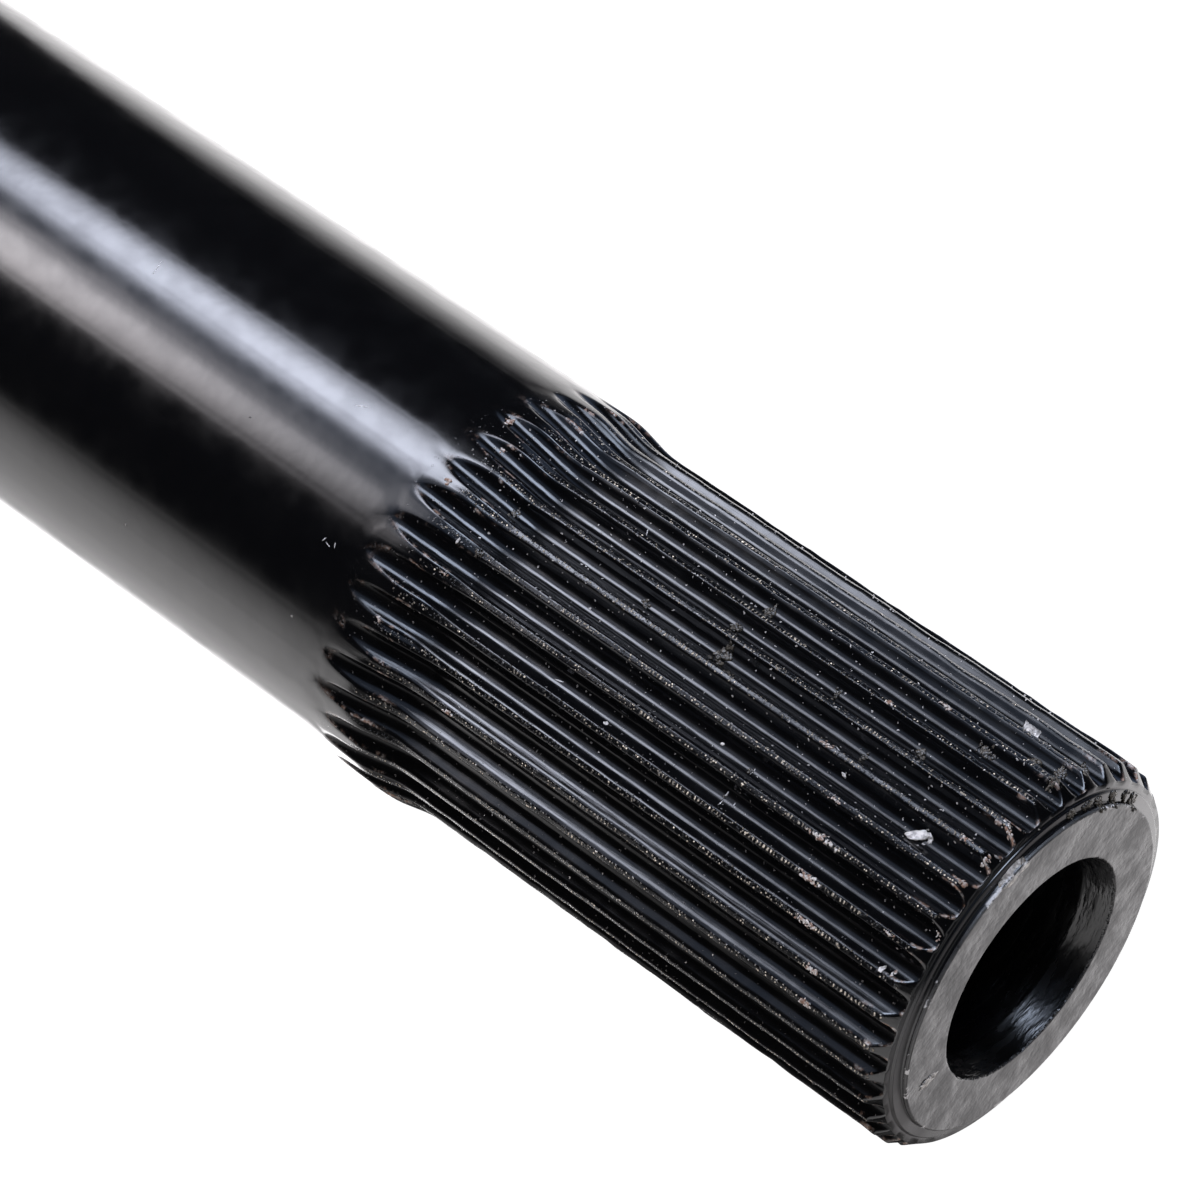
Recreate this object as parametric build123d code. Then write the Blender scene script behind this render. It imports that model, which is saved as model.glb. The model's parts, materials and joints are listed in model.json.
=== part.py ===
"""Steering shaft: a thick walled steel tube with 36 serrations that run out through a shoulder onto the tube.

It is one piece of turned steel, painted black all over, and stands on its plain end with the serrations up.
All sizes are in millimetres. Heights run up from the plain end, depths run down from the serrated end's face.
"""

from build123d import *
from math import atan2, cos, hypot, pi, radians, sin, tan
import os

# The tube
overall_length = 300.0
tube_d = 20.0
bore_d = 10.0

# Plain end
foot_chamfer = 0.6
foot_bore_chamfer = 0.4

# Shoulder, where the serrated end widens to the tube
shoulder_depth = 28.0
shoulder_length = 2.0
shoulder_radius = 5.0

# Serrations: grooves with a round bottom and narrow crests between them
tooth_count = 36
crest_d = 19.05
crest_land = 0.26
groove_angle = 60.0
root_radius = 0.76

# Each groove is straight to this depth, then bends outwards and leaves on a ramp.
straight_depth = 27.1
bend_radius = 5.0
ramp_angle = 12.0

# Serrated end. The face is the highest, a ring and the ends of the teeth step down from it.
mouth_flare = 0.5
mouth_depth = 1.4
ring_depth = 0.30
ring_width = 0.54
tooth_step = 0.15
tooth_face_width = 0.36
tooth_bevel_width = 0.525
tooth_bevel_angle = 52.0

top = overall_length
tube_r = tube_d / 2
bore_r = bore_d / 2
crest_r = crest_d / 2
bevel_r = crest_r - tooth_bevel_width
ring_r = bevel_r - tooth_face_width
face_r = ring_r - ring_width
mouth_r = bore_r + mouth_flare
teeth = max(3, round(tooth_count))

tooth_face_z = top - ring_depth - tooth_step
bevel_end_z = tooth_face_z - tooth_bevel_width * tan(radians(tooth_bevel_angle))

# The shoulder is a cone whose two corners are rounded, each over the same length on both sides of it.
neck_z = top - shoulder_depth
tube_end_z = neck_z - shoulder_length
slope = atan2(tube_r - crest_r, shoulder_length)
cone_length = hypot(tube_r - crest_r, shoulder_length)
blend = min(shoulder_radius * tan(abs(slope) / 2), 0.49 * cone_length)
across = blend * sin(slope)
along = blend * cos(slope)

# The blank is one turned profile with the bore left in it.
with BuildPart() as turned:
    with BuildSketch(Plane.XZ):
        with BuildLine():
            TangentArc((tube_r, tube_end_z - blend), (tube_r - across, tube_end_z + along), tangent=(0, 1))
            Line((tube_r - across, tube_end_z + along), (crest_r + across, neck_z - along))
            TangentArc((crest_r, neck_z + blend), (crest_r + across, neck_z - along), tangent=(0, -1))
            Polyline(
                (crest_r, neck_z + blend),
                (crest_r, bevel_end_z),
                (bevel_r, tooth_face_z),
                (ring_r, tooth_face_z),
                (ring_r, top - ring_depth),
                (face_r, top - ring_depth),
                (face_r, top),
                (mouth_r, top),
                (bore_r, top - mouth_depth),
                (bore_r, foot_bore_chamfer),
                (bore_r + foot_bore_chamfer, 0),
                (tube_r - foot_chamfer, 0),
                (tube_r, foot_chamfer),
                (tube_r, tube_end_z - blend),
            )
        make_face()
    revolve(axis=Axis.Z)
blank = turned.part

# A groove's section is drawn with x outwards. Its flanks meet the crest circle half a land from the middle of
# each neighbouring tooth, and an arc of the root radius joins them at the bottom.
half_angle = radians(groove_angle / 2)
half_pitch = pi / teeth
edge_turn = max(half_pitch - crest_land / crest_d, half_pitch / 4)
edge_x = crest_r * cos(edge_turn)
edge_y = crest_r * sin(edge_turn)
apex_x = edge_x - edge_y / tan(half_angle)
root_r = min(root_radius, 0.98 * edge_y / cos(half_angle))
root_centre_x = apex_x + root_r / sin(half_angle)
root_x = root_centre_x - root_r
arc_end_x = root_centre_x - root_r * sin(half_angle)
arc_end_y = root_r * cos(half_angle)
clear_r = max(tube_r, crest_r) + 0.6
clear_y = (clear_r - apex_x) * tan(half_angle)

with BuildSketch(Plane.XY.offset(top - straight_depth)) as groove:
    with BuildLine():
        ThreePointArc((arc_end_x, arc_end_y), (root_x, 0), (arc_end_x, -arc_end_y))
        Polyline(
            (arc_end_x, -arc_end_y),
            (clear_r, -clear_y),
            (clear_r, clear_y),
            (arc_end_x, arc_end_y),
        )
    make_face()

# The three stretches of a groove: straight in from the end, bending outwards, and the ramp.
straight_cut = extrude(groove.sketch, amount=straight_depth + 1.0)
bend_axis = Axis((root_x + bend_radius, 0, top - straight_depth), (0, -1, 0))
bend_cut = revolve(groove.sketch, axis=bend_axis, revolution_arc=ramp_angle)
ramp_section = groove.sketch.rotate(bend_axis, ramp_angle)
ramp_length = (clear_r - root_x) / sin(radians(ramp_angle))
ramp_way = (sin(radians(ramp_angle)), 0, -cos(radians(ramp_angle)))
ramp_cut = extrude(ramp_section, amount=ramp_length, dir=ramp_way)

cuts = []
for i in range(teeth):
    place = Rot(0, 0, 360.0 * i / teeth)
    cuts += [place * straight_cut, place * bend_cut, place * ramp_cut]
steering_shaft = blank - cuts

os.makedirs("parts", exist_ok=True)
export_step(steering_shaft, "parts/steering_shaft.step")
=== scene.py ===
"""The steering shaft in its black paint, with the wear and dirt of its serrated end, in a plain studio.

The shaft is one turned piece. Its fine mesh stands for the solid of the frame and has the same form, with
slightly deeper grooves and the soft corners that a coat of paint gives. Lengths are in metres, and depths run
down from the face of the serrated end.
"""

import json
import math
import random

import bmesh
import bpy
from bpy.props import FloatProperty, FloatVectorProperty, IntProperty, PointerProperty
from mathutils import Matrix, Vector, noise


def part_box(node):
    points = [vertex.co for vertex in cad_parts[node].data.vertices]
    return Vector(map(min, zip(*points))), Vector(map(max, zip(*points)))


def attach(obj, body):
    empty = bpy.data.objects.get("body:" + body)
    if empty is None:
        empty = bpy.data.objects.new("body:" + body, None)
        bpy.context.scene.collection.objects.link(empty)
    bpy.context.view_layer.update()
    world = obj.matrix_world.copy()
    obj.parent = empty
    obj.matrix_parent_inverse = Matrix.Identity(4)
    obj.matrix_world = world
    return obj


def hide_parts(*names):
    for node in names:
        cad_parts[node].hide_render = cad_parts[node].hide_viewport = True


bl_info = {
    "name": "Serrated steering shaft",
    "version": (1, 0, 0),
    "blender": (4, 5, 0),
    "location": "View3D > Sidebar > Steering shaft",
    "description": "Builds a painted steering shaft with a serrated end, its wear and a plain studio",
    "category": "Object",
}

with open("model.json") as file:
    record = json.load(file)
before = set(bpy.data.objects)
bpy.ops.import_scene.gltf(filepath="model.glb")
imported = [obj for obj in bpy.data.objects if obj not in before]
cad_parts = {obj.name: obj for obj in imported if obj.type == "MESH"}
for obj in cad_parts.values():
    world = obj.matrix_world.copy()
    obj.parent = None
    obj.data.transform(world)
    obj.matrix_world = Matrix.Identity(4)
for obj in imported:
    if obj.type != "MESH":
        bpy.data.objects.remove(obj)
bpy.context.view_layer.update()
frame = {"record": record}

CAD_NODE = "steering_shaft"
BODY = "root"
MM = 0.001


def mount_dims(name):
    """The measured sizes of one of the record's mounts."""
    return next(mount["dims"] for mount in frame["record"]["mounts"] if mount["name"] == name)


FOOT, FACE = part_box(CAD_NODE)
LENGTH = FACE.z - FOOT.z
TUBE_RADIUS = mount_dims("tube")["r_mm"] * MM
BORE_RADIUS = mount_dims("through_bore")["r_mm"] * MM
TEETH = 36
PITCH_ANGLE = math.tau / TEETH
PAINTS = ("tube", "serrations", "face", "bore")

# The serrations' own paint and unevenness end this far past the tips of the grooves.
PAST_TIPS = 1.0 * MM


# Sizes and colours that a user would change


class ShaftSizes(bpy.types.PropertyGroup):
    """Sizes of the turned shaft and its serrations."""

    crest_diameter: FloatProperty(
        name="Crest diameter", description="Across the crests of the serrations", default=19.05 * MM,
        unit="LENGTH")
    crest_land: FloatProperty(
        name="Crest width", description="Width of the narrow land on a crest", default=0.30 * MM,
        unit="LENGTH")
    groove_angle: FloatProperty(
        name="Groove angle", description="Between the two flanks of a groove", default=math.radians(60),
        subtype="ANGLE")
    root_radius: FloatProperty(
        name="Root radius", description="Radius of a groove's round bottom", default=0.60 * MM, unit="LENGTH")
    straight_depth: FloatProperty(
        name="Straight depth", description="Depth to which a groove keeps its full section",
        default=26.0 * MM, unit="LENGTH")
    bend_radius: FloatProperty(
        name="Bend radius", description="Radius on which a groove turns outwards", default=10.0 * MM,
        unit="LENGTH")
    ramp_angle: FloatProperty(
        name="Ramp angle", description="Angle at which a groove leaves the shaft", default=math.radians(12),
        subtype="ANGLE")
    shoulder_depth: FloatProperty(
        name="Shoulder depth", description="Where the serrated end starts to widen", default=28.0 * MM,
        unit="LENGTH")
    shoulder_length: FloatProperty(
        name="Shoulder length", description="Length of the cone up to the tube", default=2.0 * MM,
        unit="LENGTH")
    mouth_flare: FloatProperty(
        name="Mouth flare", description="How much wider the bore's mouth is than the bore, on the radius",
        default=0.5 * MM, unit="LENGTH")
    mouth_depth: FloatProperty(
        name="Mouth depth", description="Depth of the bore's tapered mouth", default=1.4 * MM, unit="LENGTH")
    ring_depth: FloatProperty(
        name="Ring depth", description="Step down from the face to the ring", default=0.30 * MM,
        unit="LENGTH")
    ring_width: FloatProperty(
        name="Ring width", description="Width of the ring round the face", default=0.54 * MM, unit="LENGTH")
    tooth_step: FloatProperty(
        name="Tooth step", description="Step down from the ring to the ends of the teeth", default=0.15 * MM,
        unit="LENGTH")
    tooth_face_width: FloatProperty(
        name="Tooth face width", description="Flat width at the ends of the teeth", default=0.36 * MM,
        unit="LENGTH")
    tooth_bevel_width: FloatProperty(
        name="Tooth bevel width", description="Width of the bevel on the radius", default=0.525 * MM,
        unit="LENGTH")
    tooth_bevel_angle: FloatProperty(
        name="Tooth bevel angle", description="Angle of the bevel from the face", default=math.radians(52),
        subtype="ANGLE")
    foot_chamfer: FloatProperty(
        name="Foot chamfer", description="Chamfer round the plain end", default=0.6 * MM, unit="LENGTH")
    foot_bore_chamfer: FloatProperty(
        name="Foot bore chamfer", description="Chamfer of the bore at the plain end", default=0.4 * MM,
        unit="LENGTH")
    paint_round: FloatProperty(
        name="Paint round", description="How far the paint softens a turned corner", default=0.07 * MM,
        unit="LENGTH")
    crest_round: FloatProperty(
        name="Crest round", description="How softly a crest's edge runs into its groove", default=0.03 * MM,
        unit="LENGTH")


class ShaftColours(bpy.types.PropertyGroup):
    """Colours of the paint, the bare metal and the dirt."""

    paint: FloatVectorProperty(
        name="Paint", description="Gloss black paint", default=(0.0014, 0.0014, 0.0017), size=3,
        subtype="COLOR", min=0, max=1)
    grit: FloatVectorProperty(
        name="Grit", description="Fine dry grit on the crests", default=(0.10, 0.084, 0.066), size=3,
        subtype="COLOR", min=0, max=1)
    dust: FloatVectorProperty(
        name="Dust", description="Pale specks lying on the paint", default=(0.42, 0.39, 0.37), size=3,
        subtype="COLOR", min=0, max=1)
    rust: FloatVectorProperty(
        name="Rust", description="Rusty dirt caught at the ends of the teeth", default=(0.21, 0.115, 0.075),
        size=3, subtype="COLOR", min=0, max=1)
    metal: FloatVectorProperty(
        name="Bare metal", description="Steel where the paint has chipped off", default=(0.50, 0.48, 0.48),
        size=3, subtype="COLOR", min=0, max=1)


class StudioSettings(bpy.types.PropertyGroup):
    """Camera, floor, and where and how the small irregularities lie."""

    camera_azimuth: FloatProperty(
        name="Camera azimuth", description="Round the shaft, from the front towards +X",
        default=math.radians(2.7), subtype="ANGLE")
    camera_elevation: FloatProperty(
        name="Camera elevation", description="How steeply the camera looks down", default=math.radians(26.96),
        subtype="ANGLE")
    camera_roll: FloatProperty(
        name="Camera roll", description="Turn of the camera about its own line of sight",
        default=math.radians(124.49), subtype="ANGLE")
    face_right: FloatProperty(
        name="Face to the right", description="Middle of the end face, right of the line of sight",
        default=18.17 * MM, unit="LENGTH")
    face_down: FloatProperty(
        name="Face down", description="Middle of the end face, below the line of sight", default=15.55 * MM,
        unit="LENGTH")
    face_away: FloatProperty(
        name="Face distance", description="Middle of the end face, along the line of sight",
        default=237.5 * MM, unit="LENGTH")
    focal_length: FloatProperty(
        name="Focal length", description="Lens of the camera in millimetres", default=169.3)
    floor_size: FloatProperty(
        name="Floor size", description="Side of the floor", default=12.0, unit="LENGTH")
    marks_angle: FloatProperty(
        name="Marks angle", description="Angle from +X of the photo's view, from which marks count",
        default=math.radians(272.1), subtype="ANGLE")
    mesh_seed: IntProperty(
        name="Seed", description="Choice of the small irregularities", default=7, min=0)


# The form of the shaft


def smooth_step(low, high, value):
    """Zero below low, one above high, and smooth between."""
    share = min(max((value - low) / (high - low), 0.0), 1.0)
    return share * share * (3 - 2 * share)


# Where two surfaces lie this many softnesses apart, nothing is left of the rounding between them.
FAR_APART = 30


def soft_minimum(a, b, softness):
    """The smaller of a and b, with the corner between them rounded."""
    gap = abs(a - b) / softness
    if gap > FAR_APART:
        return min(a, b)
    return min(a, b) - softness * math.log1p(math.exp(-gap))


# How softly the crests run into the shoulder and into the bevel, and how the masks fade beside the edge of a
# crest.
SHOULDER_SOFTNESS = 0.06 * MM
BEVEL_SOFTNESS = 0.02 * MM
CREST_EDGE_REACH = 0.065 * MM
CREST_FADE = (-0.06 * MM, 0.02 * MM)


class SerratedForm:
    """Radius of the serrated end at any angle from a groove's middle and any depth."""

    def __init__(self, sizes):
        self.sizes = sizes
        self.crest_r = sizes.crest_diameter / 2
        self.bevel_r = self.crest_r - sizes.tooth_bevel_width
        self.ring_r = self.bevel_r - sizes.tooth_face_width
        self.face_r = self.ring_r - sizes.ring_width
        self.tooth_face_depth = sizes.ring_depth + sizes.tooth_step
        self.bevel_slope = math.tan(sizes.tooth_bevel_angle)
        self.bevel_end_depth = self.tooth_face_depth + sizes.tooth_bevel_width * self.bevel_slope

        self.half_angle = sizes.groove_angle / 2
        edge = PITCH_ANGLE / 2 - sizes.crest_land / sizes.crest_diameter
        self.apex = self.crest_r * (math.cos(edge) - math.sin(edge) / math.tan(self.half_angle))
        self.centre = self.apex + sizes.root_radius / math.sin(self.half_angle)
        self.root_r = self.centre - sizes.root_radius
        self.arc_end = Vector((
            self.centre - sizes.root_radius * math.sin(self.half_angle),
            sizes.root_radius * math.cos(self.half_angle),
        ))
        self.bend_length = sizes.bend_radius * math.sin(sizes.ramp_angle)
        self.bend_rise = sizes.bend_radius * (1 - math.cos(sizes.ramp_angle))
        rise = TUBE_RADIUS - self.root_r - self.bend_rise
        self.tip_depth = sizes.straight_depth + self.bend_length + rise / math.tan(sizes.ramp_angle)

    def blank(self, depth):
        """Radius of the turned blank, before the grooves are cut."""
        bevel = self.bevel_r + (depth - self.tooth_face_depth) / self.bevel_slope
        cone_share = (depth - self.sizes.shoulder_depth) / self.sizes.shoulder_length
        cone = self.crest_r + (TUBE_RADIUS - self.crest_r) * cone_share
        outer = soft_minimum(TUBE_RADIUS, cone, SHOULDER_SOFTNESS)
        outer = -soft_minimum(-self.crest_r, -outer, SHOULDER_SOFTNESS)
        return soft_minimum(outer, bevel, BEVEL_SOFTNESS)

    def lift(self, depth):
        """How far a groove has risen out of the shaft."""
        past = depth - self.sizes.straight_depth
        if past <= 0:
            return 0.0
        if past < self.bend_length:
            return self.sizes.bend_radius - math.sqrt(self.sizes.bend_radius ** 2 - past ** 2)
        return self.bend_rise + (past - self.bend_length) * math.tan(self.sizes.ramp_angle)

    def arc_turn(self, lift):
        """Angle from the groove's middle at which its round bottom ends."""
        return math.atan2(self.arc_end.y, self.arc_end.x + lift)

    def groove(self, turn, depth):
        """Radius of the groove's own surface at an angle from its middle."""
        lift = self.lift(depth)
        turn = abs(turn)
        if turn <= self.arc_turn(lift):
            centre = self.centre + lift
            return centre * math.cos(turn) - math.sqrt(
                max(self.sizes.root_radius ** 2 - (centre * math.sin(turn)) ** 2, 0.0))
        return (self.apex + lift) / (math.cos(turn) - math.sin(turn) / math.tan(self.half_angle))

    def edge_turn(self, depth):
        """Angle from the groove's middle at which it meets the blank, and zero where there is no groove."""
        blank, lift = self.blank(depth), self.lift(depth)
        if self.root_r + lift >= blank:
            return 0.0
        flank_share = (self.apex + lift) / blank * math.sin(self.half_angle)
        flank_turn = math.acos(min(flank_share, 1.0)) - (math.pi / 2 - self.half_angle)
        if flank_turn >= self.arc_turn(lift):
            return min(flank_turn, PITCH_ANGLE / 2)
        centre = self.centre + lift
        arc_share = (blank ** 2 + centre ** 2 - self.sizes.root_radius ** 2) / (2 * blank * centre)
        return math.acos(min(arc_share, 1.0))

    def surface(self, turn, depth):
        """Radius of the finished surface."""
        return soft_minimum(self.blank(depth), self.groove(turn, depth), self.sizes.crest_round)

    def edge_share(self, turn, depth):
        """One on the edge between a crest and its groove, fading to zero beside it."""
        gap = self.blank(depth) - self.groove(turn, depth)
        return math.exp(-((gap / CREST_EDGE_REACH) ** 2))

    def crest_share(self, turn, depth):
        """One on the crest lands, zero in the grooves."""
        gap = self.groove(turn, depth) - self.blank(depth)
        return smooth_step(*CREST_FADE, gap)


# Rows of vertices along the serrations: shares of the bevel's height, their number on the straight stretch
# and on the run-out, how close they crowd towards the tips, and how far past the tips the last ones lie.
BEVEL_ROWS = (0, 0.04, 0.1, 0.18, 0.28, 0.38, 0.48, 0.58, 0.68, 0.78, 0.88, 0.96, 1.02, 1.1, 1.25)
STRAIGHT_ROWS = 44
RUN_OUT_ROWS = 24
RUN_OUT_CROWDING = 1.5
ROWS_PAST_TIPS = (0.15 * MM, 0.5 * MM, 1.1 * MM)

# Columns of vertices on half a groove and on half a crest.
GROOVE_STEPS = 7
CREST_STEPS = 3
HALF_COLUMNS = GROOVE_STEPS + CREST_STEPS
TOOTH_COLUMNS = 2 * HALF_COLUMNS


def row_depths(form):
    """Depths of the rows of vertices along the serrations, close together where the form changes."""
    straight_depth = form.sizes.straight_depth
    bevel_height = form.sizes.tooth_bevel_width * form.bevel_slope
    depths = [form.tooth_face_depth + bevel_height * share for share in BEVEL_ROWS]
    start = depths[-1]
    step = (straight_depth - start) / STRAIGHT_ROWS
    depths += [start + step * (row + 1) for row in range(STRAIGHT_ROWS)]
    run_out = form.tip_depth - straight_depth
    depths += [form.tip_depth - run_out * (1 - (row + 1) / RUN_OUT_ROWS) ** RUN_OUT_CROWDING
               for row in range(RUN_OUT_ROWS)]
    return depths + [form.tip_depth + past for past in ROWS_PAST_TIPS]


def row_turns(form, depth, plain_share):
    """Angles of one tooth's vertices in a row, from crest middle over the groove to the next crest middle."""
    half = PITCH_ANGLE / 2
    narrowest, widest = 0.05 * half, 0.92 * half
    edge = min(max(form.edge_turn(depth), narrowest), widest)
    fitted = [edge * step / GROOVE_STEPS for step in range(GROOVE_STEPS + 1)]
    fitted += [edge + (half - edge) * step / CREST_STEPS for step in range(1, CREST_STEPS + 1)]
    even = [half * step / HALF_COLUMNS for step in range(HALF_COLUMNS + 1)]
    mixed = [a + (b - a) * plain_share for a, b in zip(fitted, even)]
    return [-turn for turn in reversed(mixed[1:])] + mixed


def polar(radius, angle, depth):
    """A point of the shaft."""
    return Vector((radius * math.cos(angle), radius * math.sin(angle), LENGTH - depth))


def add_groove(bm, form):
    """One groove and its half crests, drawn row by row. The depth of the last row is given back."""
    crest_layer = bm.verts.layers.float.new("crest")
    edge_layer = bm.verts.layers.float.new("crest_edge")
    depths = row_depths(form)
    row = [bm.verts.new() for _ in range(TOOTH_COLUMNS + 1)]
    for a, b in zip(row, row[1:]):
        bm.edges.new((a, b))
    edges = list(bm.edges)
    for index, depth in enumerate(depths):
        if index:
            made = bmesh.ops.extrude_edge_only(bm, edges=edges)["geom"]
            new_verts = {item for item in made if isinstance(item, bmesh.types.BMVert)}
            edges = [item for item in made if isinstance(item, bmesh.types.BMEdge)
                     and set(item.verts) <= new_verts]
            row = [next(edge.other_vert(vert) for edge in vert.link_edges
                        if edge.other_vert(vert) in new_verts) for vert in row]
        plain_row = {0: form.bevel_r, len(depths) - 1: TUBE_RADIUS}.get(index)
        plain_share = 1.0 if plain_row else smooth_step(form.tip_depth, depths[-1], depth)
        for vert, turn in zip(row, row_turns(form, depth, plain_share)):
            vert.co = polar(plain_row or form.surface(turn, depth), turn, depth)
            vert[crest_layer] = form.crest_share(turn, depth)
            vert[edge_layer] = form.edge_share(turn, depth)
    return depths[-1]


# Steps of a rounded corner of the paint. A wide flat keeps its own normals with a line of vertices close to
# each of its two corners, and a long run is cut into shorter ones. Vertices closer than the last are one.
CORNER_STEPS = 2
WIDE_FLAT = 1 * MM
SUPPORT_GAP = 0.04 * MM
LONG_RUN = 20 * MM
LONG_RUN_CUTS = 5
MERGE_DISTANCE = 0.0005 * MM


def add_turned_part(bm, form, last_depth):
    """The rest of the shaft, one profile turned over a tooth: tooth ends, face, bore, foot and tube."""
    sizes = form.sizes
    corners = [
        (form.bevel_r, form.tooth_face_depth),
        (form.ring_r, form.tooth_face_depth),
        (form.ring_r, sizes.ring_depth),
        (form.face_r, sizes.ring_depth),
        (form.face_r, 0),
        (BORE_RADIUS + sizes.mouth_flare, 0),
        (BORE_RADIUS, sizes.mouth_depth),
        (BORE_RADIUS, LENGTH - sizes.foot_bore_chamfer),
        (BORE_RADIUS + sizes.foot_bore_chamfer, LENGTH),
        (TUBE_RADIUS - sizes.foot_chamfer, LENGTH),
        (TUBE_RADIUS, LENGTH - sizes.foot_chamfer),
        (TUBE_RADIUS, last_depth),
    ]
    verts = [bm.verts.new(polar(radius, -PITCH_ANGLE / 2, depth)) for radius, depth in corners]
    edges = [bm.edges.new(pair) for pair in zip(verts, verts[1:])]
    rounded = bmesh.ops.bevel(
        bm, geom=verts[1:-1], offset=sizes.paint_round, offset_type="OFFSET", affect="VERTICES",
        segments=CORNER_STEPS, profile=0.5, material=-1)
    profile = [edge for edge in edges if edge.is_valid] + rounded["edges"]
    profile += [edge for vert in rounded["verts"] for edge in vert.link_edges]
    profile = list(dict.fromkeys(profile))
    for edge in [edge for edge in profile if WIDE_FLAT < edge.calc_length() < LONG_RUN]:
        _, middle = bmesh.utils.edge_split(edge, edge.verts[0], SUPPORT_GAP / edge.calc_length())
        other = edge.other_vert(middle)
        bmesh.utils.edge_split(edge, other, SUPPORT_GAP / edge.calc_length())
    long_edges = [edge for edge in profile if edge.calc_length() > LONG_RUN]
    bmesh.ops.subdivide_edges(bm, edges=long_edges, cuts=LONG_RUN_CUTS)
    wire = [edge for edge in bm.edges if not edge.link_faces]
    wire_verts = list(dict.fromkeys(vert for edge in wire for vert in edge.verts))
    bmesh.ops.spin(
        bm, geom=wire_verts + wire, cent=(0, 0, 0), axis=(0, 0, 1), angle=PITCH_ANGLE, steps=TOOTH_COLUMNS)


def repeat_round(bm):
    """Copies of one tooth's share of the shaft all the way round, joined."""
    bmesh.ops.spin(
        bm, geom=list(bm.verts) + list(bm.edges) + list(bm.faces), cent=(0, 0, 0), axis=(0, 0, 1),
        angle=PITCH_ANGLE * (TEETH - 1), steps=TEETH - 1, use_duplicate=True)
    bmesh.ops.remove_doubles(bm, verts=bm.verts, dist=MERGE_DISTANCE)


def noise_place(seed, strides):
    """Where in the noise a seed reads."""
    return Vector([seed * stride for stride in strides])


# Strides through the noise from seed to seed and from groove to groove, and waves per millimetre. Heights of
# the fine and the coarse waves and the reach of the uneven run-outs are in millimetres.
SHAFT_STRIDES = (3.7, 1.3, 2.1)
GROOVE_STRIDE = 2.37
FINE_WAVES, COARSE_WAVES = 1.6, 0.45
CREST_FINE, CREST_COARSE = 0.035, 0.03
GROOVE_FINE, GROOVE_COARSE = 0.006, 0.012
RUN_OUT_REACH = 0.9
FADE_LENGTH = 1.5 * MM


def roughen(bm, form, seed):
    """Small irregularities: crests that aren't quite even, uneven run-outs and slightly wavy paint."""
    crest_layer = bm.verts.layers.float["crest"]
    start, end = form.sizes.straight_depth - FADE_LENGTH, form.tip_depth + PAST_TIPS
    bevel_fade, tip_fade = form.bevel_end_depth - 0.2 * MM, form.tip_depth - 0.3 * MM
    offset = noise_place(seed, SHAFT_STRIDES)
    for vert in bm.verts:
        depth = LENGTH - vert.co.z
        radius = math.hypot(vert.co.x, vert.co.y)
        if depth < form.tooth_face_depth or depth > end or radius < form.bevel_r:
            continue
        angle = math.atan2(vert.co.y, vert.co.x)
        groove_number = round(angle / PITCH_ANGLE) % TEETH
        run_share = smooth_step(start, form.sizes.shoulder_depth, depth) * (
            1 - smooth_step(tip_fade, end, depth))
        uneven = noise.noise(offset + Vector((groove_number * GROOVE_STRIDE, 0.5, 0.5)))
        shift = uneven * RUN_OUT_REACH * MM * run_share
        where = offset + Vector((vert.co.x, vert.co.y, vert.co.z)) / MM
        fine = noise.noise(where * FINE_WAVES)
        coarse = noise.noise(where * COARSE_WAVES)
        on_crest = vert[crest_layer] * smooth_step(bevel_fade, form.bevel_end_depth, depth)
        crest_wave = fine * CREST_FINE + coarse * CREST_COARSE
        groove_wave = fine * GROOVE_FINE + coarse * GROOVE_COARSE
        out = on_crest * crest_wave * MM * (1 - run_share)
        out += (1 - on_crest) * groove_wave * MM * smooth_step(0, FADE_LENGTH, end - depth)
        vert.co.x *= (radius + out) / radius
        vert.co.y *= (radius + out) / radius
        vert.co.z -= shift


# Shader nodes


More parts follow.
